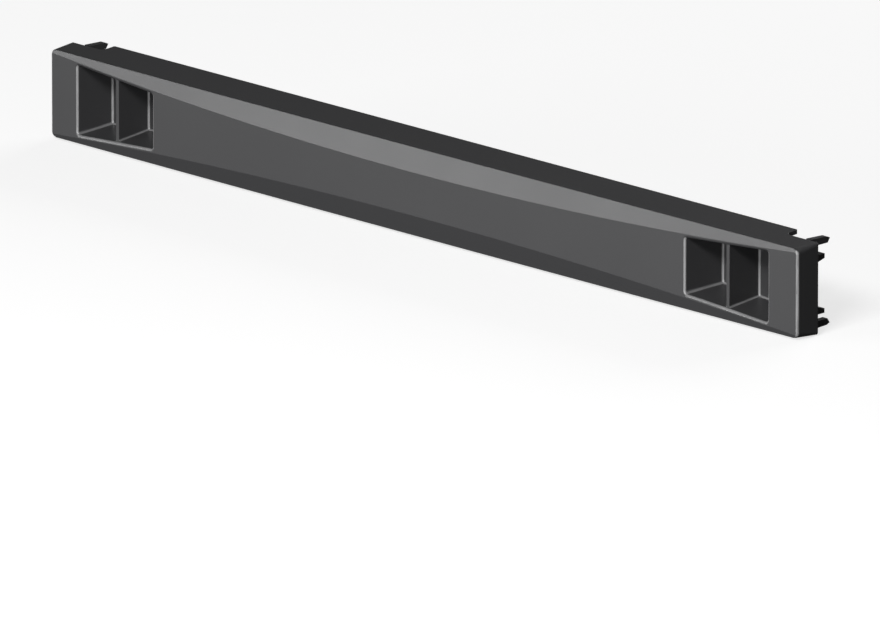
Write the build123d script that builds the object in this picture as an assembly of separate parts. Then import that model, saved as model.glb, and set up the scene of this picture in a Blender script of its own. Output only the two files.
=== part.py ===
"""Snap-in 1U blanking panel for a 19-inch rack: one hollow-backed plastic moulding.

Millimetres. Origin at the middle of the plane that seats on the rack rails.
X runs along the width, Y runs back into the rack, Z is up.
"""

from build123d import *
from math import cos, radians, tan
import os

# Overall sizes
PANEL_WIDTH = 482.6
UNIT_HEIGHT = 44.45
FRONT_GAP = 1.25
EAR_DEPTH = 13.35
EAR_WIDTH = 20.6
BODY_REACH = 7.85
WALL = 2.0
FLANGE_DRAFT = 3.2

# Bowed front and its two bevels
FACE_BOW = 4.2
EDGE_BOW = 1.1
BEVEL_TILT = 18.5
BEVEL_SETBACK = 0.48

# Rounded ends and corners
CORNER_RADIUS = 2.7
CORNER_RADIUS_AT_RAIL = 1.4
RIM_RADIUS = 1.4
LEAST_RADIUS = 0.3
NOTCH_RADIUS = 3.0
REAR_CORNER_RADIUS = 0.7

# Finger-grip pockets
POCKET_TO_END = 18.2
POCKET_WIDTH = 50.8
POCKET_DEPTH = 19.1
POCKET_MARGIN_INNER = 1.85
POCKET_MARGIN_OUTER = 1.4
POCKET_WALL = 1.55
POCKET_SIDE_DRAFT = 10.0
POCKET_FLOOR_DRAFT = 5.5
POCKET_CORNER_RADIUS = 1.5
POCKET_BASE_RADIUS = 1.1
POCKET_LIP_RADIUS = 1.2
INNER_CELL_WIDTH = 25.0
DIVIDER_THICKNESS = 1.9
DIVIDER_RECESS = 1.5
DIVIDER_DRAFT = 1.0

# Stiffening ribs on the hidden side
RIB_COUNT = 7
RIB_THICKNESS = 1.5
RIB_RECESS = 2.5

# Rail holes: square, and placed from the panel's ends and the unit's edges
HOLE_TO_END = 8.75
HOLE_TO_UNIT_EDGE = 6.35
HOLE_SIZE = 9.5
HOLE_CLEARANCE = 0.45
RAIL_THICKNESS = 2.0
RAIL_PLAY = 0.15

# Snap prongs, an outer and an inner one to each hole
PRONG_OUTSET = 0.5
PRONG_THICKNESS = 2.4
OUTER_WIDTH = 3.0
OUTER_CATCH = 1.1
OUTER_CREST_DROP = 0.5
OUTER_CREST_REACH = 12.6
OUTER_REACH = 14.5
OUTER_TIP_DROP = 1.35
OUTER_TIP_SLANT = 1.45
INNER_WIDTH = 7.0
INNER_CATCH = 1.6
INNER_REACH = 9.05
INNER_TIP_DROP = 1.8
GUSSET = 3.0
GUSSET_START = -3.0

# Sizes that follow from the ones above
FRONT_Y = -EAR_DEPTH
REAR_Y = BODY_REACH
HALF_WIDTH = PANEL_WIDTH / 2
HALF_HEIGHT = UNIT_HEIGHT / 2 - FRONT_GAP
BODY_HALF_WIDTH = HALF_WIDTH - EAR_WIDTH
POCKET_OUTER_X = HALF_WIDTH - POCKET_TO_END
POCKET_INNER_X = POCKET_OUTER_X - POCKET_WIDTH
POCKET_FLOOR_Y = FRONT_Y + POCKET_DEPTH
DIVIDER_X = POCKET_INNER_X + INNER_CELL_WIDTH
HOLE_X = HALF_WIDTH - HOLE_TO_END
HOLE_Z = UNIT_HEIGHT / 2 - HOLE_TO_UNIT_EDGE
HOOK_Y = RAIL_THICKNESS + RAIL_PLAY
STEM_TOP = HOLE_SIZE / 2 - HOLE_CLEARANCE
TILT = tan(radians(BEVEL_TILT))
DRAFT = tan(radians(FLANGE_DRAFT))
PAST = 40.0
NEAR = 0.01


def bow_y(x, end_y, rise):
    """Depth at x of a front line that starts at end_y at the ends and bows forward by rise."""
    radius = (HALF_WIDTH**2 + rise**2) / (2 * rise)
    return end_y - rise + radius - (radius**2 - x**2) ** 0.5


def bevel_edge(x):
    """Half-height at which the front face meets its bevels."""
    setback = bow_y(x, FRONT_Y + BEVEL_SETBACK, EDGE_BOW) - bow_y(x, FRONT_Y, FACE_BOW)
    return HALF_HEIGHT - setback / TILT


def behind_line(end_y, rise, z):
    """Flat region from a bowed front line back past the panel, at height z."""
    reach = HALF_WIDTH + PAST
    line = [(x, bow_y(x, end_y, rise)) for x in (-reach, 0, reach)]
    front = ThreePointArc(*line)
    sides = Polyline(front @ 1, (reach, PAST * 2), (-reach, PAST * 2), front @ 0)
    return Pos(0, 0, z) * make_face(front + sides)


def end_view(y, inset):
    """Outline of the panel at depth y, seen from the front: it grows and its corners tighten to the rear."""
    behind = y - FRONT_Y
    half_height = HALF_HEIGHT + DRAFT * behind - inset / cos(radians(FLANGE_DRAFT))
    tightening = (CORNER_RADIUS - CORNER_RADIUS_AT_RAIL) / EAR_DEPTH
    radius = max(CORNER_RADIUS - tightening * behind - inset, LEAST_RADIUS)
    face = RectangleRounded(PANEL_WIDTH - 2 * inset, 2 * half_height, radius)
    return Plane((0, y, 0), x_dir=(1, 0, 0), z_dir=(0, -1, 0)) * face


def between_flanges(inset):
    """Space between the drafted top and bottom and the two ends, drawn in by an inset."""
    front, rear = FRONT_Y - 2 * FACE_BOW, REAR_Y + inset
    return loft([end_view(front, inset), end_view(rear, inset)], ruled=True)


def bowed_face(inset):
    """Everything behind the bowed front face."""
    return extrude(behind_line(FRONT_Y + inset, FACE_BOW, 0), PAST, both=True)


def bevels(inset):
    """Everything behind the two bevels, which lean back from the face to the top and bottom edges."""
    slope = Vector(0, TILT, 1)
    top_z = PAST
    setback = BEVEL_SETBACK + inset / cos(radians(BEVEL_TILT))
    top_y = FRONT_Y + setback + TILT * (top_z - HALF_HEIGHT)
    upper = extrude(behind_line(top_y, EDGE_BOW, top_z), top_z * 2 * slope.length, dir=-slope)
    return upper & mirror(upper, Plane.XY)


def round_rim(block):
    """Round the front rim of each end, as far as its corners run into the top and bottom."""
    seam = HALF_WIDTH - CORNER_RADIUS
    result = block & Box(seam * 2, PAST * 4, PAST * 4)
    for side in (-1, 1):
        cap = block & Pos(side * (seam + PAST / 2), 0, 0) * Box(PAST, PAST * 4, PAST * 4)
        rim = [e for e in cap.edges() if e.center().Y < FRONT_Y + NEAR and abs(e.center().X) > seam + NEAR]
        result += fillet(rim, RIM_RADIUS)
    return result


def plan_outline():
    """Seen from above: ears up to the rail plane, and the body's flanges reaching further back."""
    ears = Pos(0, -PAST / 2, 0) * Box(PANEL_WIDTH + PAST, PAST, PAST * 2)
    body = Box(BODY_HALF_WIDTH * 2, REAR_Y * 2, PAST * 2)
    uprights = (ears + body).edges().filter_by(Axis.Z)
    notches = [e for e in uprights if abs(e.center().Y) < NEAR and abs(e.center().X) < HALF_WIDTH]
    outline = fillet(notches, NOTCH_RADIUS)
    corners = [e for e in outline.edges().filter_by(Axis.Z) if abs(e.center().Y - REAR_Y) < NEAR]
    return fillet(corners, REAR_CORNER_RADIUS)


def outer_form():
    """Outside of the moulding as a solid block with rounded ends."""
    block = round_rim(bowed_face(0) & between_flanges(0))
    return block & bevels(0) & plan_outline()


def inner_form(inset):
    """Outside form drawn in by an inset and running on past the rear."""
    return bowed_face(inset) & between_flanges(inset) & bevels(inset)


def side_by_side(feature):
    """A feature of the right-hand end together with its twin at the left."""
    return feature + mirror(feature, Plane.YZ)


def pocket_margin(x):
    """Distance from a pocket's edge to the bevel edge, which narrows towards the end."""
    share = (x - POCKET_INNER_X) / POCKET_WIDTH
    return POCKET_MARGIN_INNER + share * (POCKET_MARGIN_OUTER - POCKET_MARGIN_INNER)


def pocket_outline(depth, grow):
    """Cross-section of a pocket at a depth behind the front plane, enlarged all round by grow."""
    draw_in = depth * tan(radians(POCKET_SIDE_DRAFT)) - grow
    squeeze = depth * tan(radians(POCKET_FLOOR_DRAFT)) - grow
    low_x = POCKET_INNER_X + draw_in
    high_x = POCKET_OUTER_X - draw_in
    line = [(x, bevel_edge(x) - pocket_margin(x) - squeeze) for x in (low_x, (low_x + high_x) / 2, high_x)]
    top = ThreePointArc(*line)
    bottom = mirror(top, Plane.XZ)
    sides = [Line(top @ 0, bottom @ 0), Line(top @ 1, bottom @ 1)]
    face = make_face([top, bottom, *sides])
    face = fillet(face.vertices(), POCKET_CORNER_RADIUS + grow)
    return Plane((0, FRONT_Y + depth, 0), x_dir=(1, 0, 0), z_dir=(0, -1, 0)) * face


def pocket_space(front, back, grow):
    """One tapering pocket between two depths, enlarged all round by grow."""
    return loft([pocket_outline(depth, grow) for depth in (front, back)], ruled=True)


def divider():
    """Upright web that splits a pocket in two, slightly thicker at its root."""
    front = bow_y(DIVIDER_X, FRONT_Y, FACE_BOW) + DIVIDER_RECESS
    rear = POCKET_FLOOR_Y + POCKET_WALL
    edge = DIVIDER_THICKNESS / 2
    root = edge + (rear - front) * tan(radians(DIVIDER_DRAFT))
    corners = [
        (DIVIDER_X - edge, front),
        (DIVIDER_X + edge, front),
        (DIVIDER_X + root, rear),
        (DIVIDER_X - root, rear),
    ]
    return extrude(make_face(Polyline(*corners, close=True)), PAST, both=True)


def pocket_cells():
    """The space in one pocket: two cells with rounded roots and one mouth."""
    cells = pocket_space(-FACE_BOW * 2, POCKET_DEPTH, 0) - divider()

    def at_root(edge):
        middle = edge.center()
        along_web = abs(middle.X - DIVIDER_X) < DIVIDER_THICKNESS and abs((edge @ 1 - edge @ 0).Y) > WALL
        return abs(middle.Y - POCKET_FLOOR_Y) < NEAR or along_web

    return fillet(cells.edges().filter_by(at_root), POCKET_BASE_RADIUS)


def ribs():
    """Upright stiffening ribs between the pockets, a little short of the rear edge."""
    pitch = 2 * (POCKET_INNER_X - POCKET_WALL) / (RIB_COUNT + 1)
    rear = REAR_Y - RIB_RECESS
    plate = Pos(0, rear - PAST / 2, 0) * Box(RIB_THICKNESS, PAST, PAST * 2)
    middle = (RIB_COUNT - 1) / 2
    return Part() + [Pos((index - middle) * pitch, 0, 0) * plate for index in range(RIB_COUNT)]


def bar(profile, width):
    """A side profile, given as (Y, height) points, made into a bar of the given width."""
    return extrude(Plane.YZ * make_face(Polyline(*profile, close=True)), width / 2, both=True)


def outer_prong():
    """Long slim prong above its hole's middle: hooks behind the rail, then slopes to a slanted tip."""
    root = FRONT_Y + WALL / 2
    underside = STEM_TOP - PRONG_THICKNESS
    crest = STEM_TOP + OUTER_CATCH
    profile = [
        (root, STEM_TOP),
        (HOOK_Y, STEM_TOP),
        (HOOK_Y, crest),
        (OUTER_CREST_REACH, crest - OUTER_CREST_DROP),
        (OUTER_REACH, crest - OUTER_TIP_DROP),
        (OUTER_REACH - OUTER_TIP_SLANT, underside),
        (root, underside),
    ]
    return bar(profile, OUTER_WIDTH)


def inner_prong():
    """Short broad prong below its hole's middle: a wedge behind the rail, on a sloping foot."""
    root = FRONT_Y + WALL / 2
    underside = STEM_TOP - PRONG_THICKNESS
    crest = STEM_TOP + INNER_CATCH
    profile = [
        (root, -STEM_TOP - GUSSET),
        (GUSSET_START, -STEM_TOP - GUSSET),
        (GUSSET_START + GUSSET, -STEM_TOP),
        (HOOK_Y, -STEM_TOP),
        (HOOK_Y, -crest),
        (INNER_REACH, INNER_TIP_DROP - crest),
        (INNER_REACH, -underside),
        (root, -underside),
    ]
    return bar(profile, INNER_WIDTH)


def prongs():
    """Four pairs of prongs, one pair to each square hole of the rails."""
    upper = Pos(HOLE_X + PRONG_OUTSET, 0, HOLE_Z) * (outer_prong() + inner_prong())
    return side_by_side(upper + mirror(upper, Plane.XY))


def lips(body):
    """Edges where the pockets open through the front face."""

    def on_lip(edge):
        middle = edge.center()
        across = POCKET_INNER_X - WALL < abs(middle.X) < POCKET_OUTER_X + WALL
        on_face = abs(middle.Y - bow_y(middle.X, FRONT_Y, FACE_BOW)) < NEAR
        return across and on_face and abs(middle.Z) < bevel_edge(middle.X) - POCKET_MARGIN_OUTER / 2

    return body.edges().filter_by(on_lip)


def panel():
    """The whole moulding."""
    shell = outer_form() - inner_form(WALL)
    stiffening = ribs() + side_by_side(pocket_space(-FACE_BOW, POCKET_DEPTH + POCKET_WALL, POCKET_WALL))
    body = shell + (stiffening & inner_form(WALL / 2)) + prongs()
    body -= side_by_side(pocket_cells())
    return fillet(lips(body), POCKET_LIP_RADIUS)


os.makedirs("parts", exist_ok=True)
blanking_panel = panel()
export_step(blanking_panel, "parts/blanking_panel.step")
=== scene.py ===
"""A rack blanking panel, one unit high, moulded in black plastic."""

import math

import bpy
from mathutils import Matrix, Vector


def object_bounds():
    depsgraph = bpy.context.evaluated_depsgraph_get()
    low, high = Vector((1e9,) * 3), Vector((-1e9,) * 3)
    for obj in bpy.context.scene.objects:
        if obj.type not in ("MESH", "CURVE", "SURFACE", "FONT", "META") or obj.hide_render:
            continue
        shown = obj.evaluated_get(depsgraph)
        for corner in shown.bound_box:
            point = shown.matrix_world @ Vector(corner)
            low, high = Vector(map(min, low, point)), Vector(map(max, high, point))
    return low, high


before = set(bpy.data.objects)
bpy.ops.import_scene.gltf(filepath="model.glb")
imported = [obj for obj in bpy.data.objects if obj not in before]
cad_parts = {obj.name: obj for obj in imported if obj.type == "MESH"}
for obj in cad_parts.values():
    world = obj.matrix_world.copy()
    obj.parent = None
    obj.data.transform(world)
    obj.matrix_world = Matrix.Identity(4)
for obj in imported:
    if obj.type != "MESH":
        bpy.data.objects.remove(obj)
cad_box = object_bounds()

MM = 0.001
WHITE = (1.0, 1.0, 1.0, 1.0)
PANEL_NODE = "blanking_panel"

# the picture: its view, and how much of the scene lies across it
VIEW_AZIMUTH = math.radians(45.0)
VIEW_ELEVATION = math.radians(15.93)
PICTURE_WIDTH = 402.7 * MM
AIM = Vector((0.0, 0.0, -57.9)) * MM
LENS = 1150.0
SENSOR = 36.0

# the plastic: its colour, the light grey of its painted highlight, and how rough its satin and its polished
# places are
BLACK = (0.049, 0.049, 0.051)
# painted highlight: the light grey painted on the upright front corners and the grips' lower lips
PAINTED_HIGHLIGHT_GREY = (0.4, 0.4, 0.404)
PLASTIC_IOR = 1.5
SATIN = 0.42
POLISHED = 0.32
GLOSS_CLOUD = 0.015
GRAIN_SIZE = 0.35 * MM
GRAIN_DEPTH = 0.012 * MM
FLOW_SIZE = 60 * MM
EDGE_SOFTNESS = 0.35 * MM

# the painted highlight and polish on corners and lips: how squarely a face turns between two sides before it
# counts as a corner, and how much a lip gets
PATCH_SIZE = 9 * MM
LEAST_HIGHLIGHT_IN_PATCHES = 0.75
CORNER_STARTS = 0.4
CORNER_FULL = 0.85
LIP_HIGHLIGHT = 0.5
LIPS_START_BELOW = -2 * MM
LIPS_FULL_BELOW = -6 * MM

# the room: how light the floor and the walls are to the camera, and to the object
FLOOR_SIZE = 30.0
FLOOR_ROUGHNESS = 0.9
FLOOR_SHOWN = 0.45
FLOOR_LIT = 0.06
FLOOR_GLOW = 0.71
ROOM_LIGHT = 0.04
ROOM_GLOSS = 0.05


class Nodes:
    """A node tree that is written from left to right."""

    def __init__(self, tree):
        self.tree = tree

    def add(self, kind, inputs=None, **settings):
        node = self.tree.nodes.new(kind)
        for name, value in settings.items():
            setattr(node, name, value)
        for name, value in (inputs or {}).items():
            self.feed(value, node.inputs[name])
        return node

    def feed(self, value, socket):
        if isinstance(value, bpy.types.NodeSocket):
            self.tree.links.new(value, socket)
        else:
            socket.default_value = value

    def math(self, operation, *values):
        node = self.add("ShaderNodeMath", operation=operation)
        for place, value in enumerate(values):
            self.feed(value, node.inputs[place])
        return node.outputs[0]

    def spread(self, value, low, high, to_low, to_high):
        inputs = {"Value": value, "From Min": low, "From Max": high, "To Min": to_low, "To Max": to_high}
        return self.add("ShaderNodeMapRange", inputs).outputs["Result"]

    def blend(self, factor, first, second):
        node = self.add("ShaderNodeMix", data_type="RGBA")
        self.feed(factor, node.inputs["Factor"])
        self.feed(first, node.inputs[6])
        self.feed(second, node.inputs[7])
        return node.outputs[2]


def new_material(name):
    material = bpy.data.materials.new(name)
    material.use_nodes = True
    material.node_tree.nodes.clear()
    return material, Nodes(material.node_tree)


def effect(name, inputs, outputs):
    """An empty shader group with value inputs, each with its default, and value outputs."""
    group = bpy.data.node_groups.new(name, "ShaderNodeTree")
    for socket_name, default in inputs.items():
        socket = group.interface.new_socket(socket_name, in_out="INPUT", socket_type="NodeSocketFloat")
        socket.default_value = default
    for socket_name in outputs:
        group.interface.new_socket(socket_name, in_out="OUTPUT", socket_type="NodeSocketFloat")
    tree = Nodes(group)
    return group, tree, tree.add("NodeGroupInput").outputs, tree.add("NodeGroupOutput")


def mould_grain():
    """The mould's fine spark-eroded grain, as a height, and the slow cloud that flow leaves in the gloss."""
    sizes = {"Grain Size": GRAIN_SIZE, "Flow Size": FLOW_SIZE}
    group, tree, given, out = effect("mould_grain", sizes, ["Height", "Cloud"])
    place = tree.add("ShaderNodeTexCoord").outputs["Object"]
    grain_scale = tree.math("DIVIDE", 1.0, given["Grain Size"])
    flow_scale = tree.math("DIVIDE", 1.0, given["Flow Size"])
    pits = tree.add("ShaderNodeTexVoronoi", {"Vector": place, "Scale": grain_scale}, feature="SMOOTH_F1")
    fuzz = tree.add("ShaderNodeTexNoise", {"Vector": place, "Scale": grain_scale, "Detail": 3.0})
    cloud_inputs = {"Vector": place, "Scale": flow_scale, "Detail": 4.0, "Distortion": 0.6}
    cloud = tree.add("ShaderNodeTexNoise", cloud_inputs)
    height = tree.math("MULTIPLY_ADD", pits.outputs["Distance"], 0.6, fuzz.outputs["Fac"])
    tree.feed(height, out.inputs["Height"])
    tree.feed(tree.spread(cloud.outputs["Fac"], 0.3, 0.7, 0.0, 1.0), out.inputs["Cloud"])
    return group


def object_normal(tree):
    """The normal in the object's own directions, as X, Y and Z."""
    normal = tree.add("ShaderNodeNewGeometry").outputs["Normal"]
    ways = {"vector_type": "NORMAL", "convert_from": "WORLD", "convert_to": "OBJECT"}
    turned = tree.add("ShaderNodeVectorTransform", {"Vector": normal}, **ways).outputs["Vector"]
    return tree.add("ShaderNodeSeparateXYZ", {"Vector": turned}).outputs


def corner_highlight_and_polish():
    """How strongly the front's upright corners and the grips' lower lips get a painted highlight and polish,
    in patches.

    Twice the product of two parts of the normal is 1 where a face turns halfway from one side to the other.
    """
    group, tree, given, out = effect("corner_highlight_and_polish", {"Patch Size": PATCH_SIZE, "Lip Rub": LIP_HIGHLIGHT}, ["Rub"])
    place = tree.add("ShaderNodeTexCoord").outputs["Object"]
    height = tree.add("ShaderNodeSeparateXYZ", {"Vector": place}).outputs["Z"]
    normal = object_normal(tree)
    sideways = tree.math("ABSOLUTE", normal["X"])
    twice_forward = tree.math("MULTIPLY", normal["Y"], -2.0)
    turned = tree.math("MULTIPLY", sideways, twice_forward)
    corner = tree.spread(turned, CORNER_STARTS, CORNER_FULL, 0.0, 1.0)
    upright = tree.spread(tree.math("ABSOLUTE", normal["Z"]), CORNER_STARTS, CORNER_FULL, 1.0, 0.0)
    twice_level = tree.math("MAXIMUM", twice_forward, tree.math("MULTIPLY", sideways, 2.0))
    tilted = tree.math("MULTIPLY", normal["Z"], twice_level)
    lip = tree.spread(tilted, CORNER_STARTS, CORNER_FULL, 0.0, given["Lip Rub"])
    low = tree.spread(height, LIPS_START_BELOW, LIPS_FULL_BELOW, 0.0, 1.0)
    # painted highlight: set where corners and low lips turn halfway towards the front, in patches
    edge = tree.math("MAXIMUM", tree.math("MULTIPLY", corner, upright), tree.math("MULTIPLY", lip, low))
    patch_scale = tree.math("DIVIDE", 1.0, given["Patch Size"])
    patches = tree.add("ShaderNodeTexNoise", {"Vector": place, "Scale": patch_scale, "Detail": 5.0})
    patchy = tree.spread(patches.outputs["Fac"], 0.35, 0.65, LEAST_HIGHLIGHT_IN_PATCHES, 1.0)
    tree.feed(tree.math("MULTIPLY", edge, patchy), out.inputs["Rub"])
    return group


def moulded_plastic():
    """Black satin plastic: fine grain, a faint cloud in the gloss, and a painted highlight of light grey on
    the upright corners and lower lips, which are also polished.
    """
    material, tree = new_material("moulded_plastic")
    grain = tree.add("ShaderNodeGroup", node_tree=mould_grain())
    highlight_and_polish = tree.add("ShaderNodeGroup", node_tree=corner_highlight_and_polish()).outputs["Rub"]
    # painted highlight: the corners and lips are coloured light grey where the mask is set; the same mask
    # also polishes them
    colour = tree.blend(highlight_and_polish, (*BLACK, 1.0), (*PAINTED_HIGHLIGHT_GREY, 1.0))
    cloud = grain.outputs["Cloud"]
    satin = tree.spread(cloud, 0.0, 1.0, SATIN - GLOSS_CLOUD, SATIN + GLOSS_CLOUD)
    gloss = tree.math("ADD", satin, tree.math("MULTIPLY", highlight_and_polish, POLISHED - SATIN))
    softened = tree.add("ShaderNodeBevel", {"Radius": EDGE_SOFTNESS}, samples=6).outputs["Normal"]
    bump_inputs = {
        "Height": grain.outputs["Height"],
        "Distance": GRAIN_DEPTH,
        "Strength": 1.0,
        "Normal": softened,
    }
    bump = tree.add("ShaderNodeBump", bump_inputs).outputs["Normal"]
    shader_inputs = {
        "Base Color": colour,
        "Roughness": gloss,
        "Coat Weight": highlight_and_polish,
        "Coat Roughness": POLISHED,
        "Normal": bump,
        "IOR": PLASTIC_IOR,
    }
    shader = tree.add("ShaderNodeBsdfPrincipled", shader_inputs)
    tree.add("ShaderNodeOutputMaterial", {"Surface": shader.outputs[0]})
    return material


def pale_floor():
    """A floor that shows almost white with the object's shadow on it, and gives little light back."""
    material, tree = new_material("pale_floor")
    rays = tree.add("ShaderNodeLightPath").outputs
    shown = rays["Is Camera Ray"]
    dim = (FLOOR_LIT, FLOOR_LIT, FLOOR_LIT, 1.0)
    pale = (FLOOR_SHOWN, FLOOR_SHOWN, FLOOR_SHOWN, 1.0)
    shader_inputs = {
        "Base Color": tree.blend(shown, dim, pale),
        "Roughness": FLOOR_ROUGHNESS,
        "Specular IOR Level": 0.0,
        "Emission Color": WHITE,
        "Emission Strength": tree.math("MULTIPLY", shown, FLOOR_GLOW),
    }
    shader = tree.add("ShaderNodeBsdfPrincipled", shader_inputs)
    tree.add("ShaderNodeOutputMaterial", {"Surface": shader.outputs[0]})
    return material


def add_floor():
    low = cad_box[0].z
    half = FLOOR_SIZE / 2
    corners = [(-half, -half, low), (half, -half, low), (half, half, low), (-half, half, low)]
    mesh = bpy.data.meshes.new("floor")
    mesh.from_pydata(corners, [], [(0, 1, 2, 3)])
    mesh.materials.append(pale_floor())
    floor = bpy.data.objects.new("floor", mesh)
    bpy.context.scene.collection.objects.link(floor)


def from_direction(azimuth, elevation):
    """The unit vector towards a place in the room: azimuth 0 is in front of the face, +90 is on its right."""
    level = math.cos(elevation)
    return Vector((math.sin(azimuth) * level, -math.cos(azimuth) * level, math.sin(elevation)))


def look_at(thing, place, target):
    thing.location = place
    thing.rotation_euler = (target - place).to_track_quat("-Z", "Y").to_euler()
    bpy.context.scene.collection.objects.link(thing)


def add_camera():
    data = bpy.data.cameras.new("camera")
    data.sensor_width = SENSOR
    data.lens = LENS
    distance = PICTURE_WIDTH * LENS / SENSOR
    data.clip_end = 4 * distance
    camera = bpy.data.objects.new("camera", data)
    look_at(camera, AIM + distance * from_direction(VIEW_AZIMUTH, VIEW_ELEVATION), AIM)
    bpy.context.scene.camera = camera


def add_softbox(name, azimuth, elevation, distance, width, height, watts):
    data = bpy.data.lights.new(name, "AREA")
    data.shape = "RECTANGLE"
    data.size = width
    data.size_y = height
    data.energy = watts
    light = bpy.data.objects.new(name, data)
    light.visible_camera = False
    towards = from_direction(math.radians(azimuth), math.radians(elevation))
    look_at(light, distance * towards, Vector((0, 0, 0)))


def add_lights():
    """A long box that the top bevel mirrors, a strip and a lamp that look into the grips, and one behind."""
    add_softbox("key", azimuth=-36, elevation=6, distance=3.2, width=2.3, height=0.56, watts=62)
    add_softbox("strip", azimuth=20, elevation=1.6, distance=1.2, width=0.6, height=0.08, watts=4.5)
    add_softbox("lamp", azimuth=25, elevation=35, distance=1.8, width=0.8, height=0.3, watts=19)
    add_softbox("back", azimuth=184, elevation=17, distance=2.0, width=1.6, height=1.1, watts=20)


def set_world():
    """Even room light: white where the camera sees it, and dim where it lights the object."""
    world = bpy.data.worlds.new("room")
    world.use_nodes = True
    world.node_tree.nodes.clear()
    tree = Nodes(world.node_tree)
    rays = tree.add("ShaderNodeLightPath").outputs
    lit = tree.spread(rays["Is Glossy Ray"], 0.0, 1.0, ROOM_LIGHT, ROOM_GLOSS)
    strength = tree.math("MAXIMUM", lit, rays["Is Camera Ray"])
    light = tree.add("ShaderNodeBackground", {"Color": WHITE, "Strength": strength})
    tree.add("ShaderNodeOutputWorld", {"Surface": light.outputs[0]})
    bpy.context.scene.world = world


def dress(node, material):
    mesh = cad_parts[node].data
    if not mesh.materials:
        mesh.materials.append(material)
    for slot in range(len(mesh.materials)):
        mesh.materials[slot] = material


dress(PANEL_NODE, moulded_plastic())
add_floor()
add_lights()
set_world()
add_camera()
bpy.context.scene.view_settings.view_transform = "Standard"
